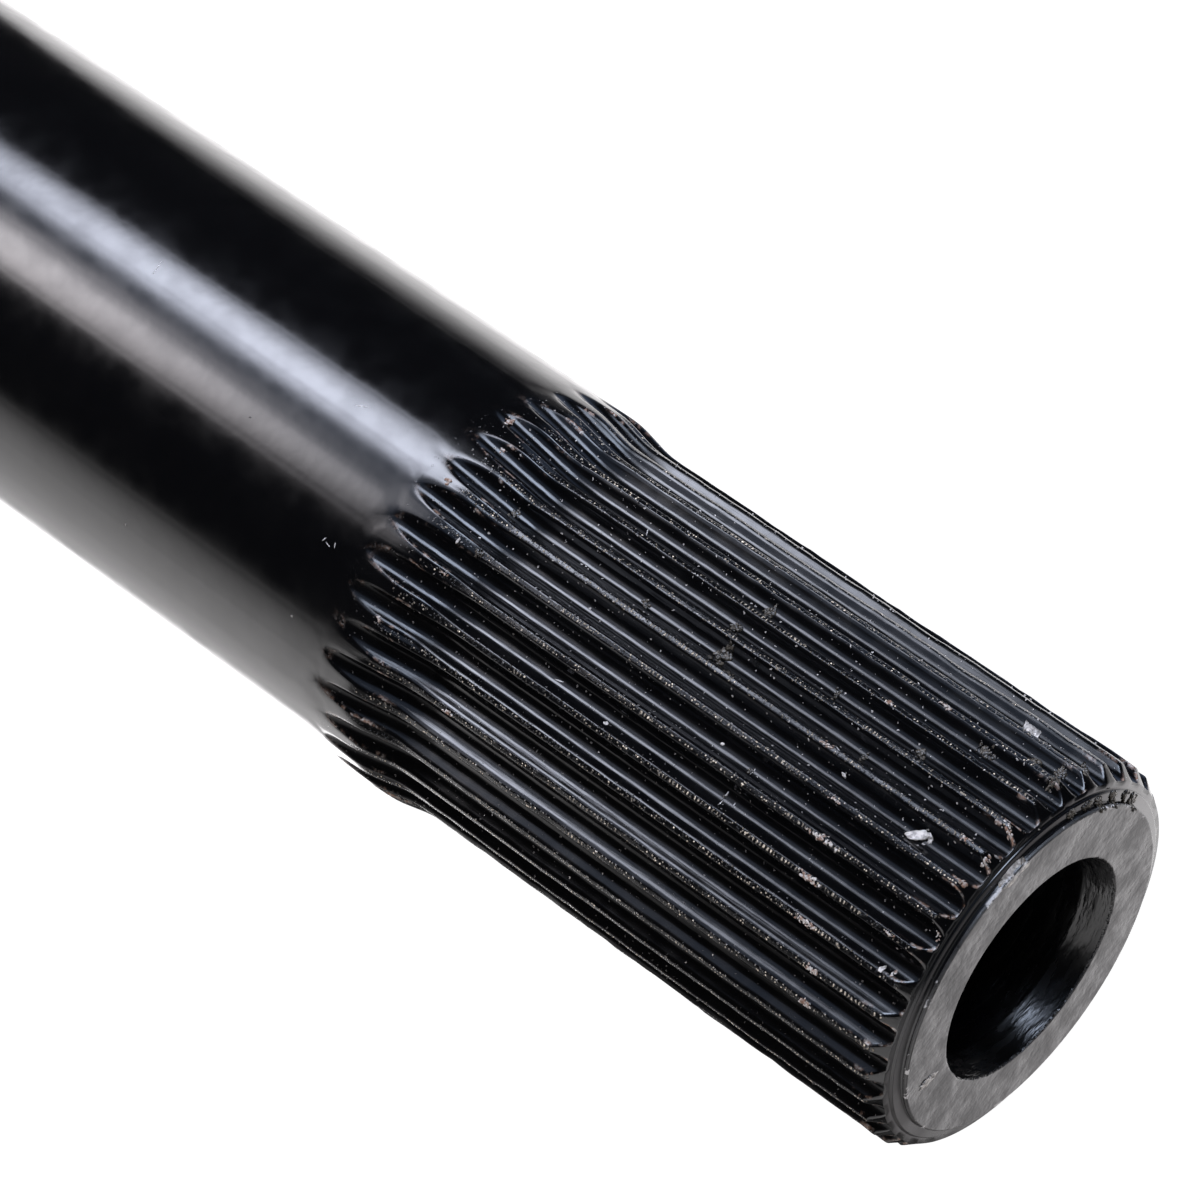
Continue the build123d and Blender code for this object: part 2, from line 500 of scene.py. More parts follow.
class Nodes:
    """Short ways to add and join nodes in one tree."""

    def __init__(self, tree):
        self.tree = tree

    def add(self, kind, inputs=None, **settings):
        node = self.tree.nodes.new(kind)
        for name, value in settings.items():
            setattr(node, name, value)
        for name, value in (inputs or {}).items():
            self.give(node.inputs[name], value)
        return node

    def give(self, socket, value):
        """Joins a socket to another one, or sets its value."""
        if isinstance(value, bpy.types.NodeSocket):
            self.tree.links.new(value, socket)
        else:
            socket.default_value = value

    def math(self, operation, *values):
        return self.add("ShaderNodeMath", dict(enumerate(values)), operation=operation).outputs[0]

    def times(self, product, *values):
        for value in values:
            product = self.math("MULTIPLY", product, value)
        return product

    def plus(self, a, b):
        return self.math("ADD", a, b)

    def most(self, a, b):
        return self.math("MAXIMUM", a, b)

    def vector(self, operation, *values):
        """A vector, or a value from a length or a dot product."""
        node = self.add("ShaderNodeVectorMath", dict(enumerate(values)), operation=operation)
        return node.outputs["Value" if operation in ("LENGTH", "DOT_PRODUCT") else "Vector"]

    def split(self, vector):
        return self.add("ShaderNodeSeparateXYZ", {"Vector": vector}).outputs

    def stretch(self, vector, scale, turn=0.0):
        """Coordinates scaled along each axis and turned about Z."""
        mapping = self.add("ShaderNodeMapping", {"Vector": vector, "Rotation": (0, 0, turn), "Scale": scale})
        return mapping.outputs["Vector"]

    def step(self, value, low, high, start=0.0, end=1.0):
        """Start below low, end above high, and smooth between."""
        inputs = {"Value": value, "From Min": low, "From Max": high, "To Min": start, "To Max": end}
        return self.add("ShaderNodeMapRange", inputs, interpolation_type="SMOOTHSTEP").outputs["Result"]

    def fade(self, value, low, high):
        """One below low, zero above high, and smooth between."""
        return self.step(value, low, high, 1.0, 0.0)

    def noise(self, vector, scale, detail, roughness):
        inputs = {"Vector": vector, "Scale": scale, "Detail": detail, "Roughness": roughness}
        return self.add("ShaderNodeTexNoise", inputs).outputs["Fac"]

    def cells(self, vector, scale):
        """Distance from the middle of a cell, and three random values of the cell as red, green and blue."""
        found = self.add("ShaderNodeTexVoronoi", {"Vector": vector, "Scale": scale}).outputs
        return found["Distance"], self.add("ShaderNodeSeparateColor", {"Color": found["Color"]}).outputs

    def mix(self, factor, a, b, data_type="FLOAT", kind="Float"):
        """The value a where the factor is zero, and b where it is one."""
        node = self.add("ShaderNodeMix", data_type=data_type)
        for name, value in (("Factor_Float", factor), (f"A_{kind}", a), (f"B_{kind}", b)):
            self.give(next(s for s in node.inputs if s.identifier == name), value)
        return next(s for s in node.outputs if s.identifier == f"Result_{kind}")

    def mix_colour(self, factor, a, b):
        return self.mix(factor, a, b, "RGBA", "Color")


def rgba(colour, share=1.0):
    """A colour property as the four numbers that a node takes."""
    return tuple(channel * share for channel in colour) + (1.0,)


def new_group(name, inputs, outputs):
    """An empty shader node group with the named sockets."""
    group = bpy.data.node_groups.new(name, "ShaderNodeTree")
    for socket_name, kind, default in inputs:
        socket = group.interface.new_socket(socket_name, in_out="INPUT", socket_type=kind)
        if default is not None:
            socket.default_value = default
    for socket_name, kind in outputs:
        group.interface.new_socket(socket_name, in_out="OUTPUT", socket_type=kind)
    nodes = Nodes(group)
    return nodes, nodes.add("NodeGroupInput").outputs, nodes.add("NodeGroupOutput").inputs


def place_group():
    """Where a point lies on the shaft, in millimetres: its depth, its radius and its way to a crest."""
    nodes, given, result = new_group(
        "place_on_shaft", [("Millimetres", "NodeSocketVector", None)],
        [("Depth", "NodeSocketFloat"), ("Radius", "NodeSocketFloat"), ("To crest", "NodeSocketFloat")])
    split = nodes.split(given["Millimetres"])
    nodes.give(result["Depth"], nodes.math("SUBTRACT", LENGTH / MM, split["Z"]))
    squares = nodes.plus(nodes.math("POWER", split["X"], 2.0), nodes.math("POWER", split["Y"], 2.0))
    radius = nodes.math("SQRT", squares)
    nodes.give(result["Radius"], radius)
    # Counted in pitches, a groove's middle lies at a whole number and a crest's middle halfway.
    angle = nodes.math("ARCTAN2", split["Y"], split["X"])
    from_groove = nodes.math("PINGPONG", nodes.math("DIVIDE", angle, PITCH_ANGLE), 0.5)
    to_crest = nodes.math("SUBTRACT", 0.5, from_groove)
    nodes.give(result["To crest"], nodes.times(to_crest, PITCH_ANGLE, radius))
    return nodes.tree


def speck_group():
    """Small grains strewn over a surface. Share is how many of the possible places hold one."""
    nodes, given, result = new_group(
        "specks",
        [("Millimetres", "NodeSocketVector", None), ("Per millimetre", "NodeSocketFloat", 3.0),
         ("Share", "NodeSocketFloat", 0.2), ("Size", "NodeSocketFloat", 0.25)],
        [("Mask", "NodeSocketFloat")])
    # Noise bends the grains out of round.
    wobble = nodes.add("ShaderNodeTexNoise", {"Vector": given["Millimetres"], "Scale": 9.0, "Detail": 1.0})
    centred = nodes.vector("SUBTRACT", wobble.outputs["Color"], (0.5, 0.5, 0.5))
    bent = nodes.vector("MULTIPLY_ADD", centred, (0.16, 0.16, 0.16), given["Millimetres"])
    distance, tint = nodes.cells(bent, given["Per millimetre"])
    chosen = nodes.math("LESS_THAN", tint["Red"], given["Share"])
    size = nodes.times(given["Size"], nodes.math("MULTIPLY_ADD", tint["Green"], 0.9, 0.35))
    grain = nodes.step(nodes.math("SUBTRACT", size, distance), 0.0, 0.05)
    nodes.give(result["Mask"], nodes.times(grain, chosen))
    return nodes.tree


def grain_group():
    """Round grains packed side by side. The mask takes the bright ones, and the height has all of them."""
    nodes, given, result = new_group(
        "grains", [("Millimetres", "NodeSocketVector", None), ("Per millimetre", "NodeSocketFloat", 8.0)],
        [("Mask", "NodeSocketFloat"), ("Tint", "NodeSocketFloat"), ("Height", "NodeSocketFloat")])
    distance, tint = nodes.cells(given["Millimetres"], given["Per millimetre"])
    grain = nodes.fade(distance, 0.28, 0.46)
    chosen = nodes.step(tint["Red"], 0.62, 0.72)
    nodes.give(result["Mask"], nodes.times(grain, chosen))
    nodes.give(result["Tint"], nodes.math("POWER", tint["Green"], 2.0))
    nodes.give(result["Height"], nodes.times(grain, tint["Blue"], 0.4))
    return nodes.tree


def use_group(nodes, tree, **inputs):
    """A group placed in a material, with its values."""
    node = nodes.add("ShaderNodeGroup")
    node.node_tree = tree
    for name, value in inputs.items():
        nodes.give(node.inputs[name.replace("_", " ")], value)
    return node.outputs


def speck_mask(nodes, groups, where, per_millimetre, share, size):
    """Specks of one kind: how close their places lie, the share of places that hold one, and its size."""
    return use_group(nodes, groups["specks"], Millimetres=where, Per_millimetre=per_millimetre, Share=share,
                     Size=size)["Mask"]


def new_material(name):
    """A material, its nodes, its Principled shader, and the mesh's own coordinates in millimetres."""
    material = bpy.data.materials.new(name)
    material.use_nodes = True
    material.node_tree.nodes.clear()
    nodes = Nodes(material.node_tree)
    shader = nodes.add("ShaderNodeBsdfPrincipled")
    nodes.add("ShaderNodeOutputMaterial", {"Surface": shader.outputs["BSDF"]})
    place = nodes.add("ShaderNodeTexCoord").outputs["Object"]
    scaled = nodes.add("ShaderNodeVectorMath", {0: place, "Scale": 1 / MM}, operation="SCALE")
    return material, nodes, shader, scaled.outputs["Vector"]


# Roughness where dust or rust lies, and the height in metres of a bump of one.
DUSTY = 0.7
PAINT_BUMP = 0.06 * MM

# Depths in millimetres between which the dirt of the serrations sets in or ends, and the beads' spacing.
GRIT_END = (28.9, 31.4)
BEADS_END = (22.0, 24.0)
DUST_END = (29.0, 33.0)
TOOTH_RUST_END = (1.0, 2.6)
TIP_RUST_START = (28.0, 30.0)
BEAD_SPACING = 0.2


def finish_paint(nodes, shader, where, colour, rough, height):
    """Joins the colour and roughness to the shader, with a bump of the heights over the skin of the paint."""
    nodes.give(shader.inputs["Base Color"], colour)
    nodes.give(shader.inputs["Roughness"], rough)
    skin = nodes.times(nodes.noise(where, 1.4, 2.0, 0.5), 0.05)
    bump = nodes.add("ShaderNodeBump", {
        "Strength": 1.0, "Distance": PAINT_BUMP, "Height": nodes.plus(skin, height)})
    nodes.give(shader.inputs["Normal"], bump.outputs["Normal"])
    shader.inputs["IOR"].default_value = 1.5


def gloss(nodes, where):
    """Roughness of the gloss paint, with duller patches."""
    return nodes.step(nodes.noise(where, 0.6, 2.0, 0.6), 0.3, 0.7, 0.13, 0.20)


def tube_paint(colours, groups):
    """Gloss black paint with a few specks of dust."""
    material, nodes, shader, where = new_material("black_paint")
    specks = speck_mask(nodes, groups, where, per_millimetre=1.0, share=0.06, size=0.07)
    dust = nodes.times(specks, 0.4)
    colour = nodes.mix_colour(dust, rgba(colours.paint), rgba(colours.dust))
    finish_paint(nodes, shader, where, colour, nodes.mix(dust, gloss(nodes, where), DUSTY), dust)
    return material


def bore_paint(colours):
    """The same paint in the bore, without dust and with the faint rings of the bore under it."""
    material, nodes, shader, where = new_material("black_paint_bore")
    rings = nodes.noise(nodes.stretch(where, (0.5, 0.5, 2.2)), 1.0, 3.0, 0.6)
    rough = nodes.step(rings, 0.3, 0.7, 0.18, 0.34)
    finish_paint(nodes, shader, where, rgba(colours.paint), rough, nodes.times(rings, 1.2))
    return material


def serration_paint(colours, form, groups):
    """The paint on the serrations: gritty on the crests, dusty, and rusty at the ends of the teeth."""
    material, nodes, shader, where = new_material("black_paint_serrations")
    place = use_group(nodes, groups["place"], Millimetres=where)
    depth, to_crest = place["Depth"], place["To crest"]
    crest_edge = nodes.add("ShaderNodeAttribute", attribute_name="crest_edge").outputs["Fac"]
    ragged = nodes.noise(where, 3.2, 3.0, 0.6)
    broken = nodes.step(ragged, 0.4, 0.55)

    # The gritty band on each crest stops at the bevel and on the shoulder.
    bevel_end = form.bevel_end_depth / MM
    band = nodes.fade(nodes.plus(to_crest, nodes.times(ragged, 0.16)), 0.14, 0.24)
    along = nodes.times(nodes.step(depth, bevel_end - 0.3, bevel_end + 0.2),
                        nodes.fade(nodes.plus(depth, ragged), *GRIT_END))
    grit_mask = nodes.times(band, along)

    # Grit is bright grains on black. On some stretches it stands in a row of beads.
    grains = use_group(nodes, groups["grains"], Millimetres=where, Per_millimetre=9.0)
    wobbled = nodes.plus(depth, nodes.times(ragged, 0.4))
    wave = nodes.math("SINE", nodes.times(wobbled, math.tau / BEAD_SPACING))
    beads = nodes.times(nodes.fade(depth, *BEADS_END), nodes.step(wave, 0.1, 0.9))
    bead_row = nodes.times(beads, nodes.fade(to_crest, 0.05, 0.10), broken)
    patches = nodes.noise(where, 0.3, 2.0, 0.6)
    bright = nodes.mix(nodes.step(patches, 0.56, 0.60), grains["Mask"], bead_row)
    patchy = nodes.step(patches, 0.34, 0.50, 0.45, 1.0)
    grit_share = nodes.times(bright, patchy, grit_mask)
    grit_colour = nodes.mix_colour(grains["Tint"], rgba(colours.grit, 2.4), rgba(colours.grit, 9.0))

    # Dust: specks everywhere, most of them on the side towards -X.
    on_serration = nodes.fade(depth, *DUST_END)
    dusty_side = nodes.step(nodes.split(where)["X"], -5.0, 4.0, 1.0, 0.2)
    fine_specks = speck_mask(nodes, groups, where, per_millimetre=5.0, share=0.30, size=0.22)
    large_specks = speck_mask(nodes, groups, where, per_millimetre=2.2, share=0.10, size=0.11)
    fine_dust = nodes.times(fine_specks, dusty_side, 0.75)
    dust_mask = nodes.times(nodes.most(fine_dust, large_specks), on_serration)

    # Rusty dirt on the edges at the ends of the teeth and at the tips of the grooves.
    near_ends = nodes.most(nodes.fade(depth, *TOOTH_RUST_END),
                           nodes.times(nodes.step(depth, *TIP_RUST_START), on_serration))
    edge_dirt = nodes.times(crest_edge, nodes.step(nodes.noise(where, 0.9, 2.0, 0.65), 0.47, 0.62))
    rust_mask = nodes.times(edge_dirt, near_ends, broken)

    colour = nodes.mix_colour(grit_share, rgba(colours.paint), grit_colour)
    colour = nodes.mix_colour(dust_mask, colour, rgba(colours.dust))
    edge_tint = nodes.mix_colour(grains["Tint"], rgba(colours.rust, 1.2), rgba(colours.dust, 1.2))
    colour = nodes.mix_colour(rust_mask, colour, edge_tint)
    rough = nodes.mix(grit_mask, gloss(nodes, where), nodes.mix(grit_share, 0.22, 0.75))
    rough = nodes.mix(nodes.most(dust_mask, rust_mask), rough, DUSTY)

    # The paint in the grooves has fine lines drawn along the shaft.
    drawn_lines = nodes.noise(nodes.stretch(where, (5.0, 5.0, 0.45)), 1.0, 2.0, 0.6)
    drawn_height = nodes.times(on_serration, 0.12, drawn_lines)
    grit_height = nodes.times(nodes.most(bright, grains["Height"]), grit_mask)
    speck_height = nodes.times(dust_mask, 0.5)
    height = nodes.plus(drawn_height, nodes.plus(grit_height, speck_height))
    finish_paint(nodes, shader, where, colour, rough, height)
    return material


def face_paint(colours, form, groups):
    """Worn satin paint on the end face, with a chipped rim. The ring and the ends of the teeth are gloss, and
    towards +X satin with the face's lighter grey, a painted sheen."""
    material, nodes, shader, where = new_material("black_paint_face")
    place = use_group(nodes, groups["place"], Millimetres=where)
    depth, radius = place["Depth"], place["Radius"]
    fray = nodes.times(nodes.noise(where, 1.3, 3.0, 0.7), 0.5)
    mouth = BORE_RADIUS / MM + form.sizes.mouth_flare / MM
    inner_edge = nodes.step(nodes.plus(radius, fray), mouth + 0.18, mouth + 0.30)
    on_face = nodes.times(nodes.math("LESS_THAN", depth, 0.15), inner_edge)
    below_face = nodes.math("GREATER_THAN", depth, 0.2)
    # Towards +X the ring and the ends of the teeth are satin and take the face's lighter grey: a painted
    # sheen.
    towards_x = nodes.step(nodes.split(where)["X"], 3.0, 5.5)
    satin_and_painted_sheen = nodes.most(on_face, nodes.times(below_face, towards_x))

    streaks = nodes.noise(nodes.stretch(where, (0.35, 1.6, 0.5), math.radians(58)), 1.1, 5.0, 0.68)
    blotches = nodes.noise(where, 0.55, 4.0, 0.62)
    face_r = form.face_r / MM
    rim = nodes.times(nodes.step(radius, face_r - 0.22, face_r - 0.06),
                      nodes.fade(radius, face_r + 0.02, face_r + 0.06))
    chips = nodes.times(rim, nodes.fade(depth, 0.1, 0.2),
                        nodes.step(nodes.noise(where, 0.7, 4.0, 0.7), 0.56, 0.60))
    specks = speck_mask(nodes, groups, where, per_millimetre=2.6, share=0.16, size=0.12)
    specks = nodes.times(specks, nodes.step(radius, face_r - 1.2, face_r, 0.25, 1.0))

    face_tone = nodes.times(nodes.step(streaks, 0.3, 0.7, 0.86, 1.0),
                            nodes.step(blotches, 0.35, 0.6, 0.4, 1.0))
    worn = nodes.mix_colour(face_tone, rgba(colours.metal, 0.02), rgba(colours.metal, 0.10))
    colour = nodes.mix_colour(satin_and_painted_sheen, rgba(colours.paint, 3.0), worn)
    colour = nodes.mix_colour(specks, colour, rgba(colours.dust))
    colour = nodes.mix_colour(chips, colour, rgba(colours.metal))
    rough = nodes.mix(satin_and_painted_sheen, gloss(nodes, where), nodes.step(blotches, 0.38, 0.62, 0.27, 0.44))
    rough = nodes.mix(nodes.most(specks, chips), rough, 0.6)
    uneven = nodes.plus(nodes.times(streaks, 0.12), nodes.times(blotches, 1.8))
    height = nodes.plus(nodes.times(uneven, on_face), nodes.times(specks, 0.5))
    finish_paint(nodes, shader, where, colour, rough, height)
    return material


def paint_of(form, face):
    """Which of the four paints a face of the shaft takes."""
    middle = face.calc_center_median()
    depth, radius = LENGTH - middle.z, math.hypot(middle.x, middle.y)
    mouth_edge = BORE_RADIUS + form.sizes.mouth_flare * 0.7
    teeth_start = form.tooth_face_depth + 0.02 * MM
    if radius < mouth_edge:
        return PAINTS.index("bore")
    if depth < teeth_start:
        return PAINTS.index("face")
    return PAINTS.index("serrations" if depth < form.tip_depth + PAST_TIPS else "tube")


# Building


def finished_piece(name, bm, *materials):
    """A bmesh as a smooth piece that moves with the shaft."""
    bmesh.ops.recalc_face_normals(bm, faces=bm.faces)
    for face in bm.faces:
        face.smooth = True
    mesh = bpy.data.meshes.new(name)
    bm.to_mesh(mesh)
    bm.free()
    piece = bpy.data.objects.new(name, mesh)
    bpy.context.scene.collection.objects.link(piece)
    for material in materials:
        mesh.materials.append(material)
    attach(piece, BODY)
    return piece


class STEERINGSHAFT_OT_add_shaft(bpy.types.Operator):
    """Add the painted shaft with its 36 serrations"""

    bl_idname = "steeringshaft.add_shaft"
    bl_label = "Add the shaft"

    def execute(self, context):
        sizes = context.scene.shaft_sizes
        form = SerratedForm(sizes)
        bm = bmesh.new()
        last_depth = add_groove(bm, form)
        add_turned_part(bm, form, last_depth)
        repeat_round(bm)
        roughen(bm, form, context.scene.shaft_studio.mesh_seed)
        open_edges = [edge for edge in bm.edges if not edge.is_manifold]
        if open_edges:
            raise RuntimeError(f"the shaft's mesh has {len(open_edges)} open edges")
        for face in bm.faces:
            face.material_index = paint_of(form, face)
        groups = {"place": place_group(), "specks": speck_group(), "grains": grain_group()}
        colours = context.scene.shaft_colours
        shaft = finished_piece(
            "painted_shaft", bm, tube_paint(colours, groups), serration_paint(colours, form, groups),
            face_paint(colours, form, groups), bore_paint(colours))
        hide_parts(CAD_NODE)
        return {"FINISHED"}


# Marks: flakes, lumps and scratches, each a small closed skin shaped over the surface


# Height of a bump of one in the material of a mark, and how softly a mark on the face bends over its step.
SPECK_BUMP = 0.03 * MM
STEP_BEND = 0.03 * MM

# Crumbs: their spacing, the fewest and the most in a cluster, the width past which a cluster makes them no
# larger, and the step between the seeds of two clusters.
CRUMB_SPACING = 0.09 * MM
FEWEST_CRUMBS, MOST_CRUMBS = 6, 28
WIDEST_CLUSTER = 0.5 * MM
CRUMB_SEEDS = 31

# The outline of a mark has coarse and fine bends, and its top has bumps. Then come how square its sides are,
# and how far it is lifted off the surface as a share of its thickness.
MARK_STRIDES = (5.3, 2.9, 7.1)
COARSE_BENDS, FINE_BENDS, FINE_SHARE = 1.5, 4.5, 0.8
BUMPS, BUMP_SHARE = 3.2, 0.8
SQUARENESS, LIFT = 0.6, 0.1


def speck_material(name, dark, light, roughness, scale):
    """A dull crumbly material mottled between two colours."""
    material, nodes, shader, where = new_material(name)
    mottle = nodes.step(nodes.noise(where, scale, 3.0, 0.65), 0.38, 0.62)
    nodes.give(shader.inputs["Base Color"], nodes.mix_colour(mottle, dark, light))
    shader.inputs["Roughness"].default_value = roughness
    bump = nodes.add("ShaderNodeBump", {
        "Strength": 1.0, "Distance": SPECK_BUMP, "Height": nodes.noise(where, scale * 1.6, 3.0, 0.7)})
    nodes.give(shader.inputs["Normal"], bump.outputs["Normal"])
    return material


def side_point(form, angle, depth, out):
    """A point over the shaft's side, with the angle counted from +X."""
    turn = (angle + PITCH_ANGLE / 2) % PITCH_ANGLE - PITCH_ANGLE / 2
    if depth < form.tip_depth:
        radius = form.surface(turn, max(depth, form.tooth_face_depth))
    else:
        radius = TUBE_RADIUS
    return polar(radius + out, angle, depth)


def face_point(form, angle, radius, out):
    """A point over the end face, the ring round it or the step between them."""
    low = form.sizes.ring_depth * smooth_step(form.face_r - STEP_BEND, form.face_r + STEP_BEND, radius)
    return polar(radius, angle, low - out)


def turned(u, v, turn):
    """Two lengths on the surface, turned together."""
    return Vector((u * math.cos(turn) - v * math.sin(turn), u * math.sin(turn) + v * math.cos(turn)))


def add_crumbs(bm, place, across, along, thickness, turn, ragged, seed):
    """A cluster of small grains strewn over a patch. Place gives a point from two lengths and a height."""
    source = random.Random(seed)
    count = max(FEWEST_CRUMBS, int(across * along / CRUMB_SPACING ** 2))
    for number in range(min(count, MOST_CRUMBS)):
        u, v = source.gauss(0, across / 4), source.gauss(0, along / 4)
        shift = turned(u, v, turn)
        size = source.uniform(0.2, 0.5) * min(across, along, WIDEST_CLUSTER)

        def grain_place(x, y, out, shift=shift):
            return place(shift.x + x, shift.y + y, out)

        add_mark(bm, grain_place, size * source.uniform(0.7, 1.3), size * source.uniform(0.8, 1.6),
                 thickness * source.uniform(0.7, 1.2), source.uniform(0, math.tau), ragged,
                 seed * CRUMB_SEEDS + number, fineness=2)


def add_mark(bm, place, across, along, thickness, turn, ragged, seed, fineness=3):
    """A flattened ball with a ragged outline, laid over the surface by place."""
    offset = noise_place(seed, MARK_STRIDES)
    for vert in bmesh.ops.create_icosphere(bm, subdivisions=fineness, radius=1.0)["verts"]:
        around = vert.co.copy()
        coarse = noise.noise(offset + around * COARSE_BENDS)
        outline = 1 + ragged * (coarse + FINE_SHARE * noise.noise(offset + around * FINE_BENDS))
        bumps = 1 + BUMP_SHARE * ragged * noise.noise(offset * 2 + around * BUMPS)
        out = thickness * (0.5 * math.copysign(abs(around.z) ** SQUARENESS, around.z) * bumps + LIFT)
        spot = turned(around.x * outline * across / 2, around.y * outline * along / 2, turn)
        vert.co = place(spot.x, spot.y, out)


# Marks on the side: angle from the middle of the photo's view towards -X, depth, width across, length along,
# thickness, turn and raggedness. Lengths are in millimetres and angles in degrees.
PALE_FLAKES = (
    (11.8, 4.03, 0.46, 1.00, 0.17, 40, 0.6), (62.0, 4.30, 0.85, 1.30, 0.07, -12, 0.9),
    (12.9, 3.50, 0.30, 0.26, 0.06, 0, 0.8), (2.4, 13.59, 0.14, 0.20, 0.06, 30, 0.3),
    (13.9, 8.3, 0.26, 0.12, 0.05, 75, 0.5), (-21.6, 2.0, 0.22, 0.22, 0.06, 0, 0.6),
    (-10.7, 18.57, 0.13, 0.20, 0.05, 10, 0.4), (6.3, 29.0, 0.30, 0.10, 0.05, 0, 0.4),
)
DARK_LUMPS = (
    (22.1, 16.25, 1.00, 0.80, 0.14, 0, 0.5), (18.6, 15.3, 0.30, 0.50, 0.08, 0, 0.5),
    (21.2, 8.2, 0.50, 0.30, 0.12, 0, 0.5), (32.2, 11.2, 0.46, 0.30, 0.11, 10, 0.5),
    (31.9, 6.5, 0.50, 0.40, 0.12, 10, 0.5), (0.8, 11.8, 0.30, 0.26, 0.10, 0, 0.5),
    (7.0, 27.9, 0.36, 0.34, 0.12, 0, 0.5), (21.7, 28.1, 0.60, 0.34, 0.12, 0, 0.5),
    (42.5, 16.4, 0.50, 0.40, 0.12, 0, 0.5), (32.0, 16.75, 0.50, 0.50, 0.16, 20, 0.5),
    (29.0, 16.5, 0.30, 0.30, 0.10, 0, 0.5), (22.4, 20.6, 0.40, 0.40, 0.12, 0, 0.5),
    (52.0, 3.0, 0.70, 0.50, 0.12, 0, 0.5), (54.0, 1.8, 0.60, 0.40, 0.12, 40, 0.5),
    (47.0, 1.4, 0.60, 0.36, 0.12, 10, 0.5), (63.0, 1.6, 0.60, 0.36, 0.12, 0, 0.5),
    (-9.4, 12.15, 0.50, 0.16, 0.05, 0, 0.5), (44.0, 4.6, 0.40, 0.70, 0.10, 0, 0.5),
)
RUST_SPOTS = (
    (-43.0, 4.7, 0.30, 0.70, 0.06, 5, 0.5), (-33.0, 4.8, 0.30, 0.60, 0.06, 5, 0.5),
    (-23.0, 6.0, 0.30, 0.90, 0.06, 0, 0.5), (-13.0, 6.8, 0.32, 1.30, 0.07, 0, 0.5),
    (-2.9, 7.2, 0.30, 1.50, 0.07, 0, 0.5), (7.0, 7.7, 0.20, 0.70, 0.05, 0, 0.5),
    (17.2, 9.6, 0.20, 1.00, 0.06, 5, 0.5), (17.3, 31.1, 0.30, 0.30, 0.07, 20, 0.5),
    (42.0, 31.6, 0.36, 0.36, 0.07, 20, 0.5), (-33.7, 25.7, 0.30, 0.60, 0.06, 20, 0.5),
    (-2.4, 28.6, 0.16, 0.50, 0.06, 10, 0.5), (-21.3, 30.2, 0.30, 0.20, 0.06, 20, 0.5),
    (37.0, 9.0, 0.26, 0.50, 0.06, 0, 0.5), (47.0, 7.2, 0.26, 0.60, 0.06, 0, 0.5),
    (33.5, 30.6, 0.24, 0.24, 0.06, 0, 0.5), (-13.0, 2.3, 0.20, 0.46, 0.06, 0, 0.5),
    (-21.0, 1.5, 0.26, 0.20, 0.05, 0, 0.5), (-6.6, 0.75, 0.44, 0.20, 0.05, 20, 0.5),
    (7.5, 0.95, 0.50, 0.26, 0.06, 20, 0.5), (16.2, 0.85, 0.44, 0.24, 0.05, 0, 0.5),
    (26.0, 0.95, 0.44, 0.24, 0.05, 40, 0.5), (17.5, 2.1, 0.20, 0.70, 0.05, 0, 0.5),
)
SCRATCHES = (
    (-8.0, 12.15, 0.30, 0.06, 0.03, -8, 0.5), (-10.6, 12.10, 0.20, 0.05, 0.03, 12, 0.5),
    (-9.0, 11.6, 0.16, 0.05, 0.03, 0, 0.3), (1.0, 11.7, 0.34, 0.05, 0.03, 0, 0.3),
    (-8.8, 21.6, 0.06, 0.42, 0.03, 15, 0.3), (-59.0, 22.8, 0.40, 0.05, 0.03, 20, 0.3),
    (42.0, 23.3, 0.50, 0.05, 0.03, 30, 0.3), (-12.3, 33.80, 0.26, 0.035, 0.015, 20, 0.3),
    (-13.1, 34.12, 0.035, 0.30, 0.015, -15, 0.3), (-12.5, 34.42, 0.24, 0.035, 0.015, -25, 0.3),
    (20.6, 36.9, 0.06, 0.55, 0.01, 25, 0.3), (20.3, 49.6, 0.75, 0.06, 0.01, 12, 0.3),
    (18.4, 9.2, 0.05, 0.50, 0.02, -25, 0.3),
)

# Marks on the end face and the ring have the distance from the shaft's axis in place of the depth. Their
# width runs outwards and their length round the axis.
FACE_FLAKES = (
    (20.7, 8.02, 0.48, 1.70, 0.05, 0, 0.8), (-68.1, 6.79, 1.05, 0.46, 0.07, 18, 0.9),
)
FACE_LUMPS = (
    (62.0, 8.25, 0.5, 0.5, 0.16, 0, 0.5), (56.0, 8.35, 0.5, 0.4, 0.14, 30, 0.5),
    (70.0, 8.3, 0.6, 0.5, 0.16, 10, 0.5), (77.0, 8.4, 0.5, 0.4, 0.14, 0, 0.5),
    (48.0, 8.35, 0.4, 0.5, 0.12, 0, 0.5), (84.0, 8.3, 0.5, 0.6, 0.12, 0, 0.5),
)


# How many seeds are set aside for the marks of one piece, and which of them those on the face start from.
PIECE_SEEDS = 100
FACE_SEEDS = 50


def place_on_side(form, angle, depth):
    """Gives points over the side, from a length round the shaft and one along it."""
    return lambda u, v, out: side_point(form, angle - u / form.crest_r, depth + v, out)


def place_on_face(form, angle, radius):
    """Gives points over the face, from a length outwards and one round the axis."""
    return lambda u, v, out: face_point(form, angle - v / radius, radius + u, out)


def add_marks(bm, form, settings, marks, place_on, seed, add):
    """One table of marks, each made by add at its own place."""
    for number, (degrees, level, across, along, thickness, turn, ragged) in enumerate(marks):
        place = place_on(form, settings.marks_angle - math.radians(degrees), level * MM)
        add(bm, place, across * MM, along * MM, thickness * MM, math.radians(turn), ragged, seed + number)


